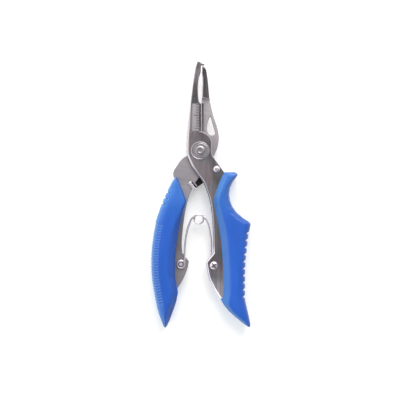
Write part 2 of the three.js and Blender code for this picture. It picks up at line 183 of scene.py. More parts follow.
def streaks(point, angle, along, across, *details):
    """Noise drawn out along angle, its grain so many mm along and across."""
    turned_point = follow("ShaderNodeVectorRotate", {
        "Vector": vector_calc("SUBTRACT", point, PIVOT),
        "Angle": -angle, "Axis": (0.0, 0.0, 1.0),
    }).outputs[0]
    fineness = (1 / (along * MM), 1 / (across * MM), 1 / (across * MM))
    return noise(times(turned_point, fineness), 1.0, *details)


def tone_along(y, stops):
    """A level that follows y in mm from the pivot through [y, level] stops."""
    low, high = stops[0][0], stops[-1][0]
    made = follow("ShaderNodeValToRGB", {0: ramp(y, low * MM, high * MM, smooth=False)})
    made.color_ramp.interpolation = "EASE"
    points = made.color_ramp.elements
    for place, level in stops[1:-1]:
        points.new((place - low) / (high - low))
    for point, (place, level) in zip(points, stops):
        point.color = (level, level, level, 1.0)
    return made.outputs[0]


def times(colour, level):
    return vector_calc("MULTIPLY", colour, level)


def split_from(point, centre):
    """x, y and z of the point measured from centre, in metres."""
    away = vector_calc("SUBTRACT", point, centre)
    return tuple(follow("ShaderNodeSeparateXYZ", {0: away}).outputs)


def source_of(node, name):
    """The socket that feeds one of a node's inputs."""
    return node.inputs[name].links[0].from_socket


def carried(shader, name):
    """A value that the mesh itself carries at each of its points."""
    tree = shader.id_data
    return add(tree, "ShaderNodeAttribute", {}, attribute_name=name).outputs["Fac"]


def bump(shader, height, depth, strength):
    made = follow("ShaderNodeBump", {
        "Height": height, "Distance": depth, "Strength": strength,
    })
    feed(shader, {"Normal": made.outputs[0]})


# ---- materials ----
def brushed(name, colour, roughness, angle, spread, scratch=0.0):
    """Ground steel: fine grain and broader streaks along angle, with light wear.

    spread is how far the streaks stray from colour, scratch how much deeper they are."""
    material, shader, point = start_material(name)
    fine = streaks(point, angle, 9, 0.16, 3.0, 0.6)
    broad = streaks(point, angle, 26, 1.5)
    cloud = noise(point, 90.0)
    streak = calc("ADD", product(fine, 0.45), product(broad, 0.55))
    dark, light = scaled(colour, 1 - spread), scaled(colour, 1 + spread)
    tone = blend_colour(ramp(streak, 0.32, 0.68), dark, light)
    rough = calc("ADD", ramp(cloud, 0.3, 0.7, roughness - 0.05, roughness + 0.05),
                 ramp(fine, 0.3, 0.7, -0.03, 0.03))
    feed(shader, {"Base Color": tone, "Roughness": rough, "Metallic": 1.0})
    bump(shader, fine, 0.012 * MM, 0.5 + scratch)
    return material, shader, point


def turned_steel(name, colour, roughness, centre, recess=None):
    """Bright steel faced on a lathe: fine rings about its own middle.

    recess gives two heights in mm; between them the driving recess is painted dark, a painted
    shade."""
    material, shader, point = start_material(name)
    x, y, z = split_from(point, centre)
    radius = calc("POWER", calc("ADD", product(x, x), product(y, y)), 0.5)
    rings = follow("ShaderNodeCombineXYZ", {
        0: product(radius, 1 / (0.14 * MM)), 1: product(z, 900.0),
    })
    grain = noise(rings.outputs[0], 1.0, 3.0, 0.6)
    smear = noise(point, 700.0)
    dark, light = scaled(colour, 0.86), scaled(colour, 1.1)
    tone = blend_colour(ramp(grain, 0.3, 0.7), dark, light)
    if recess:
        within_head = ramp(radius, 1.75 * MM, 1.85 * MM, 1.0, 0.0)
        # Painted shade: inside the head, the recess is darkened between the two heights.
        recess_shade = product(within_head, inside(calc("ABSOLUTE", z), *recess))
        tone = blend_colour(recess_shade, tone, grey(0.22))
    rough = ramp(smear, 0.3, 0.7, roughness - 0.04, roughness + 0.06)
    feed(shader, {"Base Color": tone, "Roughness": rough, "Metallic": 1.0})
    bump(shader, grain, 0.01 * MM, 0.5)
    return material


def moulded_blue():
    """Satin blue plastic with a fine moulded texture, with painted light and shade on its faces.

    The grips carry a slope, above 0 on faces that lean left and below 0 to the right.
    Faces that lean left, and the upper part of the grips, are painted paler as a painted
    highlight; faces that lean right are painted darker as a painted shade."""
    material, shader, point = start_material("satin_blue_plastic")
    texture = noise(point, 2600.0, 2.0, 0.6)
    patch = noise(point, 55.0, 3.0, 0.55)
    flow = streaks(point, math.radians(90), 30, 6)
    deep = (0.014, 0.099, 0.490, 1.0)
    bright = (0.018, 0.117, 0.565, 1.0)
    tone = blend_colour(ramp(flow, 0.3, 0.7), deep, bright)
    slope = carried(shader, "slope")
    painted_highlight_blue = (0.045, 0.185, 0.500, 1.0)
    y = split_from(point, PIVOT)[1]
    # Painted highlight: the upper part of the grips is painted paler.
    tone = blend_colour(ramp(y, -48 * MM, -20 * MM, 0.0, 0.5), tone, painted_highlight_blue)
    # Painted highlight: faces that lean left are painted paler.
    tone = blend_colour(ramp(slope, 0.03, 0.35), tone, painted_highlight_blue)
    # Painted shade: faces that lean right are painted darker.
    tone = times(tone, ramp(slope, -0.30, -0.02, 0.72, 1.0))
    rough = ramp(patch, 0.35, 0.7, 0.36, 0.44)
    feed(shader, {"Base Color": tone, "Roughness": rough, "IOR": 1.5})
    bump(shader, texture, 0.02 * MM, 0.35)
    return material


# Painted light and shade along the pliers: how the steel's level changes with y,
# as [y in mm from the pivot, level].
FRONT_PAINTED_LIGHT = (
    (-90, 1.5), (-82, 1.4), (-75, 0.8), (-66, 0.5), (-50, 0.55), (-30, 0.8), (-10, 0.78),
    (8, 0.85), (27.5, 0.9), (29.5, 0.55), (36, 0.6), (46, 0.9), (55, 0.9),
)
BACK_PAINTED_LIGHT = (
    (-87, 0.8), (-72, 0.7), (-63, 0.65), (-57, 0.5), (-45, 0.55), (-30, 0.9), (-22, 0.95),
    (-16, 0.75), (0, 0.75), (8, 0.84), (28.4, 0.88), (30.2, 1.25), (32, 1.25),
)
NOSE_PAINTED_SHADE = ((28, 1.0), (34, 0.95), (45, 0.65), (55, 0.65))
GROUND_EDGE_PAINTED_LIGHT = ((-90, 1.8), (-64, 1.8), (-56, 0.85), (-20, 0.82), (-5, 1.0), (55, 1.0))


def etched_front_steel():
    """The front lever's dark steel, with a pale etched scale beside the cutter.

    It carries painted light and shade: darker to the right, lighter and darker along its
    length, a near-black cutter flank, and ground edges brightened on the tang.
    """
    material, shader, point = brushed(
        "brushed_dark_steel", grey(0.50), 0.30, math.radians(90), spread=0.2, scratch=0.2)
    x, y, z = split_from(point, PIVOT)
    plain, rough = source_of(shader, "Base Color"), source_of(shader, "Roughness")
    # Painted shade: the lever darkens towards its right side.
    right_side = calc("ADD", x, product(y, 0.33))
    shaded = ramp(right_side, 1.0 * MM, 4.5 * MM, 1.0, 0.66)
    stain = ramp(noise(point, 130.0), 0.35, 0.65)
    cast = blend_colour(stain, (0.97, 1.03, 1.06, 1.0), (1.10, 0.97, 0.97, 1.0))
    # Painted light and shade along the lever's length.
    toned = times(times(times(plain, cast), tone_along(y, FRONT_PAINTED_LIGHT)), shaded)
    below_face = ramp(z, 2.5 * MM, 2.6 * MM, 1.0, 0.0)
    # Painted shade: the cutter's flank under the face is painted near black.
    flank = product(inside(x, *FLANK_ACROSS), inside(y, *FLANK_ALONG), below_face)
    toned = blend_colour(flank, toned, grey(0.13))
    # The ground edges are bare steel, made lighter along the tang and darker mid-lever as painted
    # light.
    worn = times(grey(0.48)[:3], tone_along(y, GROUND_EDGE_PAINTED_LIGHT))
    toned = blend_colour(carried(shader, "ground"), toned, worn)
    panel = scale_mask(x, y, z)
    feed(shader, {
        "Base Color": blend_colour(panel, toned, grey(0.43)),
        "Roughness": blend_value(panel, rough, 0.62),
    })
    return material


# The cutter's flank, painted dark as painted shade, the etched panel and the marks on it, in mm
# from the pivot.
FLANK_ACROSS, FLANK_ALONG = (-0.6, 0.6), (11.7, 29.4)
PANEL_ACROSS, PANEL_ALONG = (-4.7, -0.7), (11.9, 28.3)
TICK_PITCH, TICK_WIDTH, FIRST_TICK = 1.6, 0.46, 0.7
TICK_REACH, FIFTH_TICK_EXTRA = 1.7, 1.4


def inside(value, low, high):
    """1 where value lies between low and high, both in mm, with soft borders."""
    edge = 0.08
    rise = ramp(value, (low - edge) * MM, (low + edge) * MM)
    fall = ramp(value, (high - edge) * MM, (high + edge) * MM, 1.0, 0.0)
    return product(rise, fall)


def scale_mask(x, y, z):
    """1 inside the etched panel on the front face, 0 outside it and on its marks."""
    box = product(inside(x, *PANEL_ACROSS), inside(y, *PANEL_ALONG),
                  ramp(z, 2.3 * MM, 2.4 * MM))
    start = (PANEL_ALONG[0] + FIRST_TICK) * MM
    along = calc("DIVIDE", calc("SUBTRACT", y, start), TICK_PITCH * MM)
    away = calc("ABSOLUTE", calc("SUBTRACT", calc("FRACT", along), 0.5))
    tick = ramp(away, TICK_WIDTH / 2 - 0.06, TICK_WIDTH / 2 + 0.06, 1.0, 0.0)
    fifth = calc("LESS_THAN", calc("MODULO", calc("FLOOR", along), 5.0), 0.5)
    reach = calc("ADD", TICK_REACH * MM, product(fifth, FIFTH_TICK_EXTRA * MM))
    left_end = calc("SUBTRACT", PANEL_ACROSS[1] * MM, reach)
    marks = product(tick, calc("GREATER_THAN", x, left_end))
    return product(box, calc("SUBTRACT", 1.0, product(marks, 0.95)))


def back_steel():
    """The back lever: matt plate, lighter and darker along its length as painted light and shade,
    with a polished nose and cutter flank that are painted dark as painted shade.
    """
    material, shader, point = brushed(
        "matt_plate_steel", grey(0.54), 0.56, math.radians(-12), spread=0.07)
    _, y, z = split_from(point, PIVOT)
    raised = ramp(z, 0.0, 0.12 * MM)
    # Painted light and shade along the plate, with a lighter strip below the nose step.
    plain = times(source_of(shader, "Base Color"), tone_along(y, BACK_PAINTED_LIGHT))
    streak = streaks(point, math.radians(94), 20, 0.7)
    # Painted shade: the raised nose and cutter flank are painted near black, darker towards the
    # tip.
    dark = blend_colour(ramp(streak, 0.3, 0.7), grey(0.14), grey(0.24))
    dark = times(dark, tone_along(y, NOSE_PAINTED_SHADE))
    painted_dark_mask = product(raised, calc("SUBTRACT", 1.0, carried(shader, "ground")))
    feed(shader, {
        "Base Color": blend_colour(painted_dark_mask, plain, dark),
        "Roughness": blend_value(raised, source_of(shader, "Roughness"), 0.3),
    })
    return material


def latch_metal():
    """The latch: its arm, lower down, is painted black as painted shade; the lip above is painted
    bright as a painted highlight.
    """
    material, shader, point = brushed(
        "latch_steel_painted_light", grey(0.94), 0.42, math.radians(38), spread=0.12)
    z = split_from(point, PIVOT)[2]
    # Painted shade: the arm, below the levers, is painted near black.
    painted_arm_shade = ramp(z, -1.6 * MM, 0.05 * MM, 1.0, 0.0)
    tone = blend_colour(painted_arm_shade, source_of(shader, "Base Color"), grey(0.05))
    feed(shader, {"Base Color": tone})
    return material


# ---- meshes ----
@contextmanager
def editing(mesh):
    """The mesh open as a bmesh, written back at the end."""
    work = bmesh.new()
    work.from_mesh(mesh)
    yield work
    work.to_mesh(mesh)
    work.free()


def new_object(name, data):
    made = bpy.data.objects.new(name, data)
    scene.collection.objects.link(made)
    return made


def new_piece(mesh, angle, body, slot_name, material, *stands_for):
    """Puts a finished mesh into the scene as a piece of its name that moves with body.

    Edges sharper than angle, in degrees, are left sharp. stands_for are CAD nodes."""
    mesh.shade_smooth()
    mesh.set_sharp_from_angle(angle=math.radians(angle))
    piece = new_object(mesh.name, mesh)
    mesh.materials.clear()
    mesh.materials.append(material)
    if body:
        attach(piece, body)
    if stands_for:
        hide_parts(*stands_for)
    return piece


def flat_piece(*details):
    """A new piece whose large faces are kept looking flat."""
    modifier = new_piece(*details).modifiers.new("normals", "WEIGHTED_NORMAL")
    modifier.keep_sharp = True
    modifier.weight = 60


def skin(name, rings):
    """A closed skin over rings of equal length, with flat ends."""
    around = len(rings[0])
    vertices = np.concatenate([np.asarray(ring) for ring in rings])
    faces = []
    last = len(vertices) - around
    for here in range(0, last, around):
        there = here + around
        for j in range(around):
            k = (j + 1) % around
            faces.append((here + j, here + k, there + k, there + j))
    faces.append(tuple(reversed(range(around))))
    faces.append(tuple(range(last, last + around)))
    mesh = bpy.data.meshes.new(name)
    mesh.from_pydata([tuple(vertex) for vertex in vertices], [], faces)
    mesh.validate()
    with editing(mesh) as work:
        bmesh.ops.recalc_face_normals(work, faces=work.faces)
    return mesh


def circle(radius, sides):
    """Points of a circle about the origin, evenly spaced."""
    turns = np.linspace(0, 2 * math.pi, sides, endpoint=False)
    return [(radius * math.cos(turn), radius * math.sin(turn)) for turn in turns]


def rounded_corners(corners, steps, closed=False):
    """Points of a run of [x, y, cut] corners, each cut back and bridged by a curve."""
    points = []
    count = len(corners)
    for i, (x, y, cut) in enumerate(corners):
        here = np.array((x, y), float)
        ends = not closed and i in (0, count - 1)
        if ends or cut <= 0:
            points.append(here)
            continue
        before = np.array(corners[i - 1][:2], float)
        after = np.array(corners[(i + 1) % count][:2], float)
        back = here + (before - here) * min(0.49, cut / np.linalg.norm(before - here))
        on = here + (after - here) * min(0.49, cut / np.linalg.norm(after - here))
        for t in np.linspace(0, 1, steps + 1):
            points.append((1 - t) ** 2 * back + 2 * t * (1 - t) * here + t ** 2 * on)
    return np.array(points)


def turned(name, centre, profile, sides):
    """A lathe-turned solid. profile is [radius, height, cut] in mm, axis to axis."""
    rings = []
    for radius, height in rounded_corners(profile, 4):
        if radius > 1e-6:
            rings.append([(centre.x + x, centre.y + y, centre.z + height * MM)
                          for x, y in circle(radius * MM, sides)])
    return skin(name, rings)


LEVEL = 0.999  # a face is level where its normal's z is above this
UPRIGHT = 0.3  # a wall is upright where its normal's z is below this
FLAT_RISE = 0.002  # mm between the highest and lowest corner of a level face
RIM_STEP = 0.7  # mm between the points on a rim
RINGS = (0.1, 0.25, 0.45, 0.65, 0.85, 1.0)  # shares of the ground width
GRIND_CURVE = 1.4  # over 1, the ground face steepens towards the rim
GRIND_SHARE = 0.45  # the most of a wall's height that grinding takes away
FULL_WEAR = 0.15  # mm of grinding that bares the steel
SLIVER = 1e-11  # square metres


def islands_of(work, side):
    """Groups of joined faces that all look straight up (side 1) or down (-1)."""
    groups, seen = [], set()

    def belongs(face):
        heights = [vertex.co.z for vertex in face.verts]
        return face.normal.z * side > LEVEL or max(heights) - min(heights) < FLAT_RISE * MM

    for start in work.faces:
        if start in seen or start.normal.z * side < LEVEL:
            continue
        seen.add(start)
        group = [start]
        for face in group:
            for edge in face.edges:
                for other in edge.link_faces:
                    if other not in seen and belongs(other):
                        seen.add(other)
                        group.append(other)
        groups.append(group)
    return groups


def rim_of(group):
    """The edges round a group of faces, each with the wall face it stands on."""
    own = set(group)
    rim = []
    for face in group:
        for edge in face.edges:
            walls = [other for other in edge.link_faces if other not in own]
            if len(walls) == 1:
                rim.append((edge, walls[0]))
    return rim


def split_evenly(edge, longest):
    """Cuts an edge into equal pieces no longer than longest."""
    start = edge.verts[0]
    for left in range(math.ceil(edge.calc_length() / longest), 1, -1):
        far = edge.other_vert(start)
        _, start = bmesh.utils.edge_split(edge, start, 1 / left)
        edge = next(piece for piece in start.link_edges if piece.other_vert(start) is far)


def cut_depth(spots, cuts):
    """How deep the grinding goes at every spot, both in mm; cuts are ground rims."""
    deepest = np.zeros(len(spots))
    nearest = np.full(len(spots), np.inf)
    for begin, end, width, depth in cuts:
        run = end - begin
        share = np.clip(((spots - begin) @ run) / (run @ run), 0, 1)
        away = np.linalg.norm(spots - begin - share[:, None] * run, axis=1) / width
        deepest = np.maximum(deepest, depth * np.clip(1 - away, 0, 1) ** GRIND_CURVE)
        nearest = np.minimum(nearest, away)
    return deepest, nearest


def within(spots, segments):
    """Which spots lie inside closed outlines given as segments."""
    crossings = np.zeros(len(spots), int)
    for (x0, y0), (x1, y1) in segments:
        if y0 == y1:
            continue
        level = (spots[:, 1] > min(y0, y1)) & (spots[:, 1] <= max(y0, y1))
        x = x0 + (spots[:, 1] - y0) * (x1 - x0) / (y1 - y0)
        crossings += level & (x > spots[:, 0])
    return crossings % 2 == 1


def ways_in(corner, ground):
    """The ways in from a corner of a rim, and which one each ground edge there follows.

    ground holds the way in from each of those edges and the edge's far end."""
    (first, far), (last, other_far) = ground[0], ground[-1]
    if len(ground) == 1:
        beyond = (corner - far) / max(1e-6, np.linalg.norm(corner - far))
        return [first, (first + beyond) / math.sqrt(2), beyond], [0]
    middle = first + last
    if first @ last > 0.9 or first @ (other_far - corner) > 0:
        return [middle / max(0.2, 1 + first @ last)], [0, 0]
    return [first, middle / max(1e-6, np.linalg.norm(middle)), last], [0, 2]


def ground_rim(group, width_at):
    """The rim of a flat area: its vertices, its edges, and the edges to be ground."""
    order, edges, segments, ground = {}, [], [], []
    for edge, wall in rim_of(group):
        for vertex in edge.verts:
            order.setdefault(vertex, len(order))
        ends = [np.array((vertex.co - PIVOT).xy) / MM for vertex in edge.verts]
        edges.append(tuple(order[vertex] for vertex in edge.verts))
        segments.append(ends)
        if edge.is_convex and abs(wall.normal.z) < UPRIGHT and wall.calc_area() > SLIVER:
            heights = [vertex.co.z for vertex in wall.verts]
            room = (max(heights) - min(heights)) / MM
            facing = Vector((wall.normal.x, wall.normal.y, 0)).normalized()
            middle = (edge.verts[0].co + edge.verts[1].co) / 2
            width, steepness = width_at(in_mm(middle), facing)
            depth = min(steepness * width, GRIND_SHARE * room)
            ground.append((edges[-1], ends, -np.array(facing.xy), width, depth))
    return list(order), edges, segments, ground


def rings_inside(count, segments, ground):
    """Spots on rings inward of the ground edges, and the lines that join them.

    count is the number of spots that the rim itself takes."""
    cuts = [(ends[0], ends[1], width, depth) for _, ends, _, width, depth in ground]
    meeting = {}
    for number, (pair, ends, inward, width, _) in enumerate(ground):
        for index, here, far in ((pair[0], ends[0], ends[1]), (pair[1], ends[1], ends[0])):
            meeting.setdefault(index, []).append((number, here, inward, far, width))
    places, rings, lines, followed = [], [], [], {}
    for index, joined in meeting.items():
        here = joined[0][1]
        ways, chosen = ways_in(here, [(inward, far) for _, _, inward, far, _ in joined])
        width = sum(entry[4] for entry in joined) / len(joined)
        for level, ring in enumerate(RINGS):
            first = len(places)
            for way in ways:
                places.append(here + way * width * ring)
                rings.append(ring)
            lines += [(first + step, first + step + 1) for step in range(len(ways) - 1)]
            for (number, *_), way in zip(joined, chosen):
                followed.setdefault((number, level), []).append(first + way)
    lines += [tuple(pair) for pair in followed.values() if len(pair) == 2]
    places, rings = np.array(places), np.array(rings)
    nearest = cut_depth(places, cuts)[1]
    clear = cut_depth(places, [(begin, end, 1.0, 0.0) for begin, end in segments])[1]
    good = within(places, segments) & (nearest > rings - 0.06) & (clear > 0.02)
    renumbered = np.cumsum(good) - 1 + count
    kept = [(renumbered[a], renumbered[b]) for a, b in lines if good[a] and good[b]]
    return places[good], [(int(a), int(b)) for a, b in kept], cuts


def surface_of(group):
    """A search tree over one group of faces, blind to the rest of the piece."""
    numbers = {}
    for face in group:
        for vertex in face.verts:
            numbers.setdefault(vertex, len(numbers))
    polygons = [[numbers[vertex] for vertex in face.verts] for face in group]
    return BVHTree.FromPolygons([vertex.co for vertex in numbers], polygons)


def grind(work, side, width_at):
    """Grinds the edges of every flat face that looks up (side 1) or down (-1).

    Only rims over an upright wall are ground. width_at gives a width in mm and a
    steepness for a place in mm from the pivot and the way that the wall faces."""
    rest = {}
    worn = work.verts.layers.float.get("ground") or work.verts.layers.float.new("ground")
    for group in islands_of(work, side):
        for edge, _ in rim_of(group):
            split_evenly(edge, RIM_STEP * MM)
        rim, edges, segments, ground = ground_rim(group, width_at)
        if not ground:
            continue
        surface = surface_of(group)
        inner, lines, cuts = rings_inside(len(rim), segments, ground)
        spots = [Vector((vertex.co - PIVOT).xy) / MM for vertex in rim]
        spots += [Vector(spot) for spot in inner]
        made = delaunay_2d_cdt(spots, edges + lines, [], 0, 1e-6)
        flat, triangles = np.array([tuple(spot) for spot in made[0]]), made[2]
        middles = np.array([flat[list(triangle)].mean(axis=0) for triangle in triangles])
        kept = within(middles, segments)
        deep = cut_depth(flat, cuts)[0]
        bmesh.ops.delete(work, geom=group, context="FACES")
        vertices = []
        for index, (x, y) in enumerate(flat):
            if index < len(rim):
                vertex = rim[index]
                level = rest.setdefault(vertex, vertex.co.z)
                vertex.co.z = level - side * deep[index] * MM
            else:
                above = at(x, y, 30 * side)
                hit = surface.ray_cast(above, Vector((0, 0, -side)))[0]
                level = hit.z if hit else rim[0].co.z
                vertex = work.verts.new((above.x, above.y, level - side * deep[index] * MM))
            vertex[worn] = min(1.0, deep[index] / FULL_WEAR)
            vertices.append(vertex)
        for triangle, keep in zip(triangles, kept):
            if keep:
                work.faces.new([vertices[index] for index in triangle])
        loose = [vertex for vertex in vertices if not vertex.link_faces]
        bmesh.ops.delete(work, geom=loose, context="VERTS")
        work.normal_update()


def ground_piece(node, name, body, slot_name, material, width_at):
    """A CAD node's mesh again, with the edges of its flat faces ground."""
    mesh = frame["nodes"][node].data.copy()
    mesh.name = name
    with editing(mesh) as work:
        bmesh.ops.remove_doubles(work, verts=work.verts, dist=2e-6)
        grind(work, 1, width_at)
        grind(work, -1, lambda place, facing: (0.2, 0.8))
        bmesh.ops.recalc_face_normals(work, faces=work.faces)
    flat_piece(mesh, 28, body, slot_name, material, node)


# ---- levers ----
def front_lever():
    """Ground widest on its left edge by the pivot, less along the jaw and the tang."""
    holes = ((in_mm(PIVOT), 3.6), (in_mm(joints["latch_swing"]), 1.6),
             (in_mm(centre_of("spring_screw_right")), 1.6))
    nose_from, widest, less_on_jaw, less_on_tang = 47, 1.35, 0.85, 0.3

    def width_at(place, facing):
        if any((place - hole).xy.length < reach for hole, reach in holes):
            return 0.1, 0.8
        if facing.x < -0.25:
            less = less_on_jaw * ease(place.y, 6, 30) + less_on_tang * ease(-place.y, 14, 24)
            return widest - float(less), 0.8
        return (0.2, 0.9) if place.y > nose_from else (0.4, 1.1)

    ground_piece("front_lever", "front_lever_ground", "right_handle", "front_steel",
                 etched_front_steel(), width_at)


def back_lever():
    """Ground wider on its raised nose, which lies above the plate."""
    ground_piece("back_lever", "back_lever_ground", "left_handle", "back_steel", back_steel(),
                 lambda place, facing: (0.5 if place.z > 0.5 else 0.25, 0.9))


def latch():
    ground_piece("latch", "latch_bent", "latch", "latch_steel", latch_metal(),
                 lambda place, facing: (0.2, 0.9))


# ---- grips ----
def levels_of(node, whole_side):
    """The CAD grip's outline as rows of y, lowest x and highest x, top first.

    Only the half that the tang's slot leaves whole is read, above (1) or below (-1)
    the middle."""
    rows = []
    points = [v.co for v in frame["nodes"][node].data.vertices]
    points = [p for p in points if (p.z - PIVOT.z) * whole_side > 0.3 * MM]
    for point in sorted(points, key=lambda p: -p.y):
        if rows and rows[-1][0] - point.y < 0.02 * MM:
            rows[-1][1] = min(rows[-1][1], point.x)
            rows[-1][2] = max(rows[-1][2], point.x)
        else:
            rows.append([point.y, point.x, point.x])
    return rows


def part_notches(rows, depth):
    """Rows without those at the bottom of a notch, and the heights of the notches."""
    kept, notches = [rows[0]], []
    for before, here, after in zip(rows, rows[1:], rows[2:]):
        share = (here[0] - before[0]) / (after[0] - before[0])
        if before[2] + (after[2] - before[2]) * share - here[2] > depth:
            notches.append(here[0])
        else:
            kept.append(here)
    return kept + [rows[-1]], notches


def edge_at(y, heights, places):
    """x on an edge, carried on straight past both ends. heights rise."""
    low, high = heights[0], heights[-1]
    below = 2 * places[0] - np.interp(2 * low - y, heights, places)
    above = 2 * places[-1] - np.interp(2 * high - y, heights, places)
    return np.where(y < low, below, np.where(y > high, above, np.interp(y, heights, places)))


def softened(y, heights, places, radius):
    """The edge at every y with its corners rounded over about radius."""
    offsets = np.linspace(-radius, radius, 11)
    weights = np.cos(offsets / radius * math.pi / 2) ** 2
    total = sum(w * edge_at(y + offset, heights, places) for w, offset in zip(weights, offsets))
    return total / weights.sum()


def grip_section(width, form):
    """One level of a grip as [distance from the inner edge, height] all the way round.

    A chamfer lies along the inner edge and a broad rounding along the outer one."""
    half = form["half"]
    chamfer = min(form["chamfer"], 0.42 * width)
    rounding = min(form["rounding"], 0.72 * (width - chamfer))
    inner_wall = form["inner_wall"] * half
    corners = [
        (0, inner_wall, 0.7 * MM),
        (chamfer, 0.985 * half, min(1.3 * MM, 0.4 * chamfer)),
        (0.5 * (chamfer + width - rounding), half, 1.0 * MM),
        (width - rounding, 0.99 * half, form["crease"] * rounding),
        (width - 0.28 * rounding, 0.76 * half, 0.3 * rounding),
        (width, 0.32 * half, 0.3 * rounding),
    ]
    lower = [(along, -height, cut) for along, height, cut in reversed(corners)]
    return rounded_corners(corners + lower, 6, closed=True)


def grip_rings(stations, inner, outer, form_at):
    """Rings of points for a grip between its two edges, both given at every station.

    Where an edge runs askew the cut along it is widened, to stay as wide square to it."""
    towards = np.sign(np.mean(outer - inner))
    smoothing = 41
    gentle = np.convolve(
        np.gradient(inner, stations), np.ones(smoothing) / smoothing, mode="same")
    lean_in = np.minimum(1.3, np.sqrt(1 + gentle ** 2))
    lean_out = np.minimum(1.6, np.sqrt(1 + np.gradient(outer, stations) ** 2))
    rings = []
    for i, y in enumerate(stations):
        form = form_at(y, inner[i])
        form["chamfer"] *= lean_in[i]
        form["rounding"] *= lean_out[i]
        section = grip_section(abs(outer[i] - inner[i]), form)
        ring = np.empty((len(section), 3))
        ring[:, 0] = inner[i] + towards * section[:, 0]
        ring[:, 1] = y
        ring[:, 2] = PIVOT.z + section[:, 1]
        rings.append(ring)
    return rings


def dome(distance, length):
    """0 at an end, rising as a quarter ellipse to 1 at length from it."""
    share = np.clip(distance / length, 0, 1)
    return np.sqrt(1 - (1 - share) ** 2)


GRIP_HALF = 6.5 * MM  # half the thickness of a grip
STATION = 0.2 * MM  # from one level of a grip to the next
END_RUN = 1.2 * MM  # the stretch at each end where the levels lie closer


def grip_edges(rows, corner, at_top, at_tip, tip_run):
    """The levels down a grip, and the lowest and highest x of each.

    The outline's corners are rounded over corner, and both edges are drawn in at the
    ends: by at_top over 0.6 mm, and by at_tip over tip_run."""
    top, tip = rows[0][0], rows[-1][0]
    near = 1 - np.cos(np.linspace(0, math.pi / 2, 8))
    ends = near[:-1] * END_RUN
    middle = np.linspace(top - END_RUN, tip + END_RUN, int((top - tip) / STATION))
    stations = np.concatenate([top - ends, middle, (tip + ends)[::-1]])
    rising = np.array(rows)[::-1]
    low = softened(stations, rising[:, 0], rising[:, 1], corner)
    high = softened(stations, rising[:, 0], rising[:, 2], corner)
    pinch = at_top * (1 - dome(top - stations, 0.6 * MM)) + at_tip * (
        1 - dome(stations - tip, tip_run))
    return stations, low + pinch, high - pinch


def right_grip(material):
    rows, notches = part_notches(levels_of("right_grip", -1), 0.9 * MM)
    stations, inner, outer = grip_edges(rows, 0.9 * MM, 0.3 * MM, 0.3 * MM, 0.8 * MM)
    top, tip = stations[0], stations[-1]
    waist = PIVOT.x + 13.8 * MM  # left of it, low down, the chamfer spreads over the tip

    def form_at(y, inner_x):
        below = (PIVOT.y - y) / MM
        spread = max(0.0, waist - inner_x) * ease(below, 80, 86)
        end = 0.6 + 0.25 * dome(top - y, 3.0 * MM) + 0.15 * ease(below, 13, 26)
        point = 0.30 + 0.70 * dome(y - tip, 16 * MM)
        return {
            "half": GRIP_HALF * end * point,
            "chamfer": spread + (2.8 + 1.5 * ease(below, 28, 46) - 2.6 * ease(below, 84, 98)) * MM,
            "rounding": (1.3 + 1.7 * ease(below, 15, 24)) * MM,
            "inner_wall": 0.45 - 0.25 * min(1.0, spread / (1.9 * MM)) + 0.2 * ease(below, 90, 100),
            "crease": 0.15 + 0.35 * ease(below, 42, 50),
        }

    rings = grip_rings(stations, inner, outer, form_at)
    depth, half_width, reach = 1.15 * MM, 0.95 * MM, 2.3 * MM
    for i, y in enumerate(stations):
        away = min(abs(notch - y) for notch in notches) / half_width
        cut = depth * max(0.0, 1 - away) ** 0.8
        if cut > 0:
            share = np.clip((rings[i][:, 0] - (outer[i] - reach)) / reach, 0, 1)
            rings[i][:, 0] -= cut * share
    finish_grip("right_grip_moulded", "right_handle", material, rings, "right_grip")


# Places and sizes in mm from the pivot; a reach is measured in from the outer edge.
LEFT_NOTCHES = ((-19.1, -25.4), (-20.7, -28.6), (-22.2, -32.0))
NOTCH_DEPTH, NOTCH_SINK, NOTCH_HALF_WIDTH = 0.95, 0.5, 0.62
NOTCH_FADES = (1.4, 2.9)
RIDGE_PITCH, RIDGE_DEPTH, RIDGE_REACH = 1.66, 0.45, 4.8
RIDGES_FROM, RIDGES_TO = -43.0, -94.0


def left_grip(material):
    rows = levels_of("left_grip", 1)
    stations, outer, inner = grip_edges(rows, 1.2 * MM, 0.25 * MM, 0.2 * MM, 0.6 * MM)
    top, tip = stations[0], stations[-1]

    def form_at(y, inner_x):
        below = (PIVOT.y - y) / MM
        end = 0.6 + 0.2 * dome(top - y, 5 * MM) + 0.2 * ease(below, 17, 35)
        point = 0.30 + 0.70 * dome(y - tip, 18 * MM)
        lower = ease(below, 28, 52)
        return {
            "half": GRIP_HALF * end * point,
            "chamfer": (1.0 + 2.6 * lower) * MM,
            "rounding": 4.4 * MM,
            "inner_wall": 0.80 - 0.35 * lower,
            "crease": 0.3,
        }

    rings = grip_rings(stations, inner, outer, form_at)
    slope = np.gradient(outer, stations)
    for i, ring in enumerate(rings):
        from_edge = ring[:, 0] - outer[i]
        press_ridges(ring, from_edge, slope[i])
        press_notches(ring, from_edge)
    finish_grip("left_grip_moulded", "left_handle", material, rings, "left_grip")


def press_ridges(ring, from_edge, slope):
    """Fine grip ridges square to the outer edge, fading out across the face."""
    along = (ring[:, 1] + slope * from_edge - PIVOT.y) / MM
    fade = 1 - ease(from_edge / MM, RIDGE_REACH - 0.7, RIDGE_REACH)
    fade = fade * ease(along, RIDGES_TO - 0.5, RIDGES_TO + 0.5) * (
        1 - ease(along, RIDGES_FROM - 0.5, RIDGES_FROM + 0.5))
    wave = 0.5 - 0.5 * np.cos(2 * math.pi * along / RIDGE_PITCH)
    press = RIDGE_DEPTH * MM * fade * wave
    lean = np.clip(from_edge / (3.2 * MM), 0, 1)  # from pressed sideways to pressed down
    ring[:, 0] += press * (1 - lean)
    ring[:, 2] -= press * lean * np.sign(ring[:, 2] - PIVOT.z)


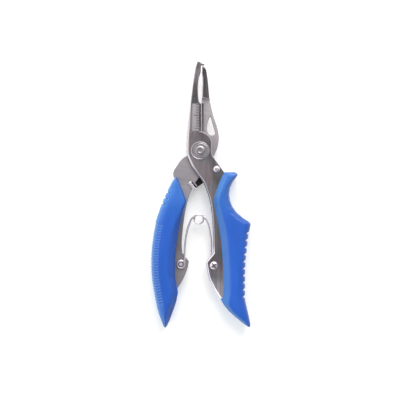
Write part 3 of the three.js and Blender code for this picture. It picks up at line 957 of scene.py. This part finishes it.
def press_notches(ring, from_edge):
    """Three cuts across the outer edge near the top, square to it."""
    for x, y in LEFT_NOTCHES:
        spot = at(x, y)
        away = (ring[:, 0] - spot.x) * -0.45 + (ring[:, 1] - spot.y) * -0.89
        share = np.clip(1 - np.abs(away) / (NOTCH_HALF_WIDTH * MM), 0, 1) ** 0.7
        fade = 1 - ease(from_edge / MM, *NOTCH_FADES)
        ring[:, 0] += NOTCH_DEPTH * MM * share * fade
        ring[:, 2] -= NOTCH_SINK * MM * share * fade * np.sign(ring[:, 2] - PIVOT.z)


def finish_grip(name, body, material, rings, node):
    """The grip's skin, carrying how far each point leans to the left (+) or right (-)."""
    mesh = skin(name, rings)
    leans = [(1 - abs(vertex.normal.z)) * (1 if vertex.normal.x < 0 else -1)
             for vertex in mesh.vertices]
    mesh.attributes.new("slope", "FLOAT", "POINT").data.foreach_set("value", leans)
    flat_piece(mesh, 50, body, "grip_plastic", material, node)


# ---- pivot, rivets and screws ----
def prism(name, centre, outline, low, high, bevel):
    """An upright prism over an outline in mm, its top edge rounded by bevel."""
    rings = []
    middle = outline.mean(axis=0)
    for share in np.linspace(0, math.pi / 2, 5):
        shrink = bevel * (1 - math.cos(share))
        height = high - bevel + bevel * math.sin(share)
        away = outline - middle
        length = np.linalg.norm(away, axis=1, keepdims=True)
        rings.append((outline - away / length * shrink, height))
    rings.insert(0, (outline, low))
    solid = [[(centre.x + x * MM, centre.y + y * MM, centre.z + z * MM) for x, y in ring]
             for ring, z in rings]
    return skin(name, solid)


def pivot_screw():
    bright = turned_steel("turned_pivot_steel", grey(0.40), 0.38, PIVOT)

    def fit(mesh, *stands_for):
        flat_piece(mesh, 40, "left_handle", "bright_steel", bright, *stands_for)

    fit(turned("pivot_flange", PIVOT, [
        (0, -2.65, 0), (3.3, -2.65, 0.1), (3.3, 2.70, 0), (5.6, 2.70, 0.1), (5.6, 3.1, 0.18),
        (5.1, 3.5, 0.2), (4.75, 3.24, 0.1), (0, 3.24, 0),
    ], 96), "pivot_sleeve")
    cap_radius, off_centre = 4.55, (0.5, 0.0)
    cap = np.array(circle(cap_radius, 96)) + off_centre
    fit(prism("pivot_cap", PIVOT, cap, 3.1, 3.7, 0.45))
    fit(turned("pivot_pin_turned", PIVOT, [
        (0, -4.55, 0), (2.2, -4.55, 0.2), (3.3, -3.95, 0.3), (3.3, -3.42, 0.1), (2.1, -3.42, 0),
        (2.1, 3.45, 0), (3.0, 3.45, 0.1), (2.95, 3.8, 0.25), (2.3, 4.12, 0.5), (1.5, 4.18, 0.3),
        (0.9, 4.0, 0.3), (0, 3.94, 0),
    ], 72), "pivot_pin")
    fit(turned("pivot_washer_turned", PIVOT, [
        (0, -3.40, 0), (5.4, -3.40, 0.2), (5.4, -2.72, 0.15), (0, -2.72, 0),
    ], 96), "pivot_washer")


def latch_rivet():
    centre = joints["latch_swing"].copy()
    bright = turned_steel("turned_rivet_steel", grey(0.72), 0.4, centre)
    rivet = turned("latch_rivet_turned", centre, [
        (0, -5.30, 0), (1.3, -5.30, 0.2), (2.0, -4.90, 0.3), (2.0, -4.62, 0.1), (1.2, -4.60, 0),
        (1.2, -2.70, 0), (2.4, -2.70, 0), (2.4, 0.0, 0), (1.3, 0.0, 0), (1.3, 2.70, 0),
        (2.05, 2.70, 0.1), (1.95, 3.25, 0.4), (1.2, 3.75, 0.5), (0, 3.84, 0),
    ], 64)
    washer = turned("latch_washer_turned", centre, [
        (0, -4.55, 0), (2.4, -4.55, 0.12), (2.4, -4.06, 0.12), (0, -4.06, 0),
    ], 64)
    for mesh, node in ((rivet, "latch_rivet"), (washer, "latch_washer")):
        flat_piece(mesh, 40, "right_handle", "bright_steel", bright, node)


# The painted shade in a screw's recess lies between these heights; a recess is cut by two bars
# of this length, width and height, their middles at BAR_HEIGHT. All in mm.
RECESS = (3.1, 3.72)
BAR_SIZE, BAR_HEIGHT = (3.5, 0.8, 2.2), 4.3
BAR_TURN = 0.6  # radians


def screw_pair(side, screw_node, nut_node, body):
    """A cross-slotted screw through one handle and the domed nut on its other end.

    On side 1 both look up. On side -1 the pair is turned over, and both look down."""
    centre = centre_of(screw_node)
    metal = turned_steel("screw_steel_" + body, grey(0.92), 0.42, centre, RECESS)
    plated = turned_steel("nut_steel_" + body, grey(0.98), 0.62, centre)
    plated.node_tree.nodes["Principled BSDF"].inputs["Metallic"].default_value = 0.6
    head = turned(screw_node + "_turned", centre, [
        (0, -2.0, 0), (1.1, -2.0, 0.1), (1.1, 2.70, 0), (2.5, 2.70, 0.1), (2.45, 3.2, 0.3),
        (1.9, 3.75, 0.5), (1.1, 3.98, 0.3), (0, 4.03, 0),
    ], 64)
    cut_cross(head, centre)
    nut = turned(nut_node + "_turned", centre, [
        (0, 1.36, 0), (2.1, 1.36, 0.02), (2.1, 1.45, 0.05), (1.75, 2.02, 0.3), (1.15, 2.44, 0.35),
        (0.5, 2.64, 0.25), (0, 2.67, 0),
    ], 64)
    there, back = Matrix.Translation(centre), Matrix.Translation(-centre)
    turn_over = there @ Matrix.Scale(-1, 4, (0, 0, 1)) @ back
    for mesh, node, steel in ((head, screw_node, metal), (nut, nut_node, plated)):
        if side < 0:
            mesh.transform(turn_over)
            mesh.flip_normals()
        new_piece(mesh, 35, body, "screw_steel", steel, node)


def cut_cross(mesh, centre):
    """Cuts a cross recess into the head of a screw with Blender's boolean."""
    with editing(mesh) as work:
        bmesh.ops.remove_doubles(work, verts=work.verts, dist=1e-6)
        bmesh.ops.dissolve_degenerate(work, dist=1e-7, edges=work.edges)
        bmesh.ops.recalc_face_normals(work, faces=work.faces)
    head = new_object("head", mesh)
    lifted = Matrix.Translation(centre + Vector((0, 0, BAR_HEIGHT * MM)))
    size = Matrix.Diagonal([length * MM for length in BAR_SIZE] + [1.0])
    for turn in (BAR_TURN, BAR_TURN + math.pi / 2):
        place = lifted @ Matrix.Rotation(turn, 4, "Z")
        bar_mesh = bpy.data.meshes.new("bar")
        with editing(bar_mesh) as work:
            bmesh.ops.create_cube(work, size=1.0)
            bmesh.ops.transform(work, matrix=place @ size, verts=work.verts)
        bar = new_object("bar", bar_mesh)
        cut = head.modifiers.new("cut", "BOOLEAN")
        cut.operation = "DIFFERENCE"
        cut.object = bar
        cut.solver = "EXACT"
        graph = bpy.context.evaluated_depsgraph_get()
        result = bpy.data.meshes.new_from_object(head.evaluated_get(graph))
        head.modifiers.clear()
        work = bmesh.new()
        work.from_mesh(result)
        work.to_mesh(mesh)
        work.free()
        bpy.data.objects.remove(bar)
    bpy.data.objects.remove(head)


# ---- return spring ----
# In mm, the places of the legs' points from the pivot.
WIRE_RADIUS, COIL_RADIUS, EYE_RADIUS = 0.6, 2.75, 2.2
COIL_LEAVES = math.radians(40)  # from straight up to where each leg leaves the coil
EYE_TURN = math.radians(315)
ARC_STEP = math.radians(6)
LEG_STEPS = 14  # pieces of wire between two points of a leg
LEFT_LEG = ((-4.9, -40.7), (-6.3, -43.4), (-7.7, -47.7), (-8.8, -53.5), (-9.35, -60))
RIGHT_LEG = ((3.0, -40.7), (4.4, -43.4), (5.6, -47.7), (6.45, -53.5), (6.6, -60))
LEG_HEIGHT, COIL_HEIGHT = 0.65, 0.74


def through(points):
    """A smooth curve through 3D points; the first and last of them are left out."""
    points = [np.array(point, float) for point in points]
    padded = [2 * points[0] - points[1]] + points + [2 * points[-1] - points[-2]]
    curve = []
    for a, b, c, d in zip(padded, padded[1:], padded[2:], padded[3:]):
        for t in np.linspace(0, 1, LEG_STEPS, endpoint=False):
            curve.append(0.5 * (2 * b + (c - a) * t + (2 * a - 5 * b + 4 * c - d) * t ** 2
                                + (3 * b - a - 3 * c + d) * t ** 3))
    return curve[1:]


def arc(centre, radius, start, end, low, high):
    """A run of wire about centre, from one angle and height to another."""
    count = max(2, int(abs(end - start) / ARC_STEP))
    return [np.array((centre.x + radius * math.cos(turn), centre.y + radius * math.sin(turn), z))
            for turn, z in zip(np.linspace(start, end, count), np.linspace(low, high, count))]


def spring(material):
    coil = in_mm(joints["spring_coil"])
    left_eye = in_mm(centre_of("spring_screw_left"))
    right_eye = in_mm(centre_of("spring_screw_right"))
    up = math.pi / 2
    left_end = arc(left_eye, EYE_RADIUS, -EYE_TURN, 0, LEG_HEIGHT, LEG_HEIGHT)
    turns = arc(coil, COIL_RADIUS, up + COIL_LEAVES, up - COIL_LEAVES - 2 * math.pi,
                COIL_HEIGHT, -COIL_HEIGHT)
    right_end = arc(
        right_eye, EYE_RADIUS, math.pi, math.pi + EYE_TURN, -LEG_HEIGHT, -LEG_HEIGHT)
    left_leg = [(x, y, LEG_HEIGHT) for x, y in reversed(LEFT_LEG)]
    right_leg = [(x, y, -LEG_HEIGHT) for x, y in RIGHT_LEG]
    down = through([left_end[-1]] + left_leg + [turns[0]])
    back = through([turns[-1]] + right_leg + [right_end[0]])
    path = np.array(left_end + down + turns + back + right_end)
    mesh = tube("spring_wire_bent", path, WIRE_RADIUS, 16)
    piece = new_piece(
        mesh, 60, None, "spring_wire", material, "spring_left_arm", "spring_right_arm")
    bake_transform(piece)


def tube(name, path, radius, sides):
    """A round wire along a path in mm from the pivot, its ends slightly rounded."""
    ahead = np.gradient(path, axis=0)
    ahead /= np.linalg.norm(ahead, axis=1, keepdims=True)
    across = np.cross((0.0, 0.0, 1.0), ahead)
    across /= np.linalg.norm(across, axis=1, keepdims=True)
    upward = np.cross(ahead, across)
    sizes = np.full(len(path), radius)
    sizes[0] = sizes[-1] = 0.7 * radius
    rings = []
    for i, point in enumerate(path):
        ring = [point + sizes[i] * (x * across[i] + y * upward[i]) for x, y in circle(1, sides)]
        rings.append([at(*corner) for corner in ring])
    return skin(name, rings)


def wire_metal():
    material, shader, point = start_material("drawn_spring_wire")
    drawn = noise(point, 1500.0, 3.0, 0.6)
    tone = blend_colour(ramp(drawn, 0.3, 0.7), grey(0.74), grey(0.88))
    rough = ramp(drawn, 0.3, 0.7, 0.3, 0.42)
    feed(shader, {"Base Color": tone, "Roughness": rough, "Metallic": 1.0})
    bump(shader, drawn, 0.008 * MM, 0.4)
    return material


# ---- studio ----
VIEW_WIDTH = 241.6  # mm seen across
VIEW_MIDDLE = (-0.12, -29.6)  # mm from the pivot
KEY_PLACE, KEY_SIZE, KEY_POWER = Vector((0.22, 0.70, 0.60)), 0.8, 7.5
FLOOR_HALF = 3.0
FLOOR_DROP = 0.02 * MM  # under the grips, so that the two don't touch


def camera():
    """Straight above VIEW_MIDDLE, far enough away to see VIEW_WIDTH across."""
    data = bpy.data.cameras.new("camera")
    data.lens, data.sensor_width = 85.0, 36.0
    data.clip_start, data.clip_end = 0.05, 20.0
    distance = VIEW_WIDTH * MM * data.lens / data.sensor_width
    scene.camera = new_object("camera", data)
    scene.camera.location = at(*VIEW_MIDDLE) + Vector((0, 0, distance))


def floor():
    mesh = bpy.data.meshes.new("studio_floor")
    with editing(mesh) as work:
        bmesh.ops.create_grid(work, x_segments=8, y_segments=8, size=FLOOR_HALF)
    material, shader, point = start_material("pale_floor")
    mottled = noise(point, 6.0)
    tone = blend_colour(mottled, (0.855, 0.850, 0.820, 1.0), (0.880, 0.875, 0.845, 1.0))
    feed(shader, {
        "Base Color": tone, "Roughness": 0.9, "Specular IOR Level": 0.1,
        "Emission Color": (1, 1, 1, 1), "Emission Strength": 0.33,
    })
    mesh.materials.append(material)
    plane = new_object("studio_floor", mesh)
    plane.location = (0, 0, -FLOOR_DROP)


def key_light():
    """A round lamp high up beyond the jaws, aimed at the middle of the pliers."""
    data = bpy.data.lights.new("key", "AREA")
    data.shape = "DISK"
    data.size = KEY_SIZE
    data.energy = KEY_POWER
    lamp = new_object("key", data)
    lamp.location = KEY_PLACE
    lamp.rotation_euler = (at(0, -30) - KEY_PLACE).to_track_quat("-Z", "Y").to_euler()


def surroundings():
    """A soft studio: bright to the left and low on the right, dim elsewhere and overhead.

    The camera itself sees plain white."""
    world = bpy.data.worlds.new("studio")
    scene.world = world
    world.use_nodes = True
    tree = world.node_tree
    tree.nodes.clear()
    direction = add(tree, "ShaderNodeTexCoord", {}).outputs["Generated"]
    x, y, z = follow("ShaderNodeSeparateXYZ", {0: direction}).outputs
    side = calc("ADD", product(x, -0.92), product(y, 0.38))
    level = ramp(side, -0.75, 0.75, 0.25, 1.85)
    low_right = product(ramp(x, 0.3, 0.8), ramp(z, 0.28, 0.4, 1.0, 0.0))
    level = calc("ADD", level, product(low_right, 1.1))
    level = blend_value(ramp(z, 0.45, 0.95), level, 0.36)
    lit = follow("ShaderNodeBackground", {"Color": (0.98, 0.99, 1.0, 1.0), "Strength": level})
    seen = add(tree, "ShaderNodeBackground", {"Color": (1, 1, 1, 1), "Strength": 1.0})
    path = add(tree, "ShaderNodeLightPath", {}).outputs["Is Camera Ray"]
    both = follow("ShaderNodeMixShader", {0: path, 1: lit.outputs[0], 2: seen.outputs[0]})
    follow("ShaderNodeOutputWorld", {"Surface": both.outputs[0]})


# ---- build ----
scene.view_settings.view_transform = "Standard"
blue = moulded_blue()
front_lever()
back_lever()
latch()
right_grip(blue)
left_grip(blue)
pivot_screw()
latch_rivet()
screw_pair(1, "spring_screw_right", "spring_nut_right", "right_handle")
screw_pair(-1, "spring_screw_left", "spring_nut_left", "left_handle")
spring(wire_metal())
floor()
surroundings()
key_light()
camera()
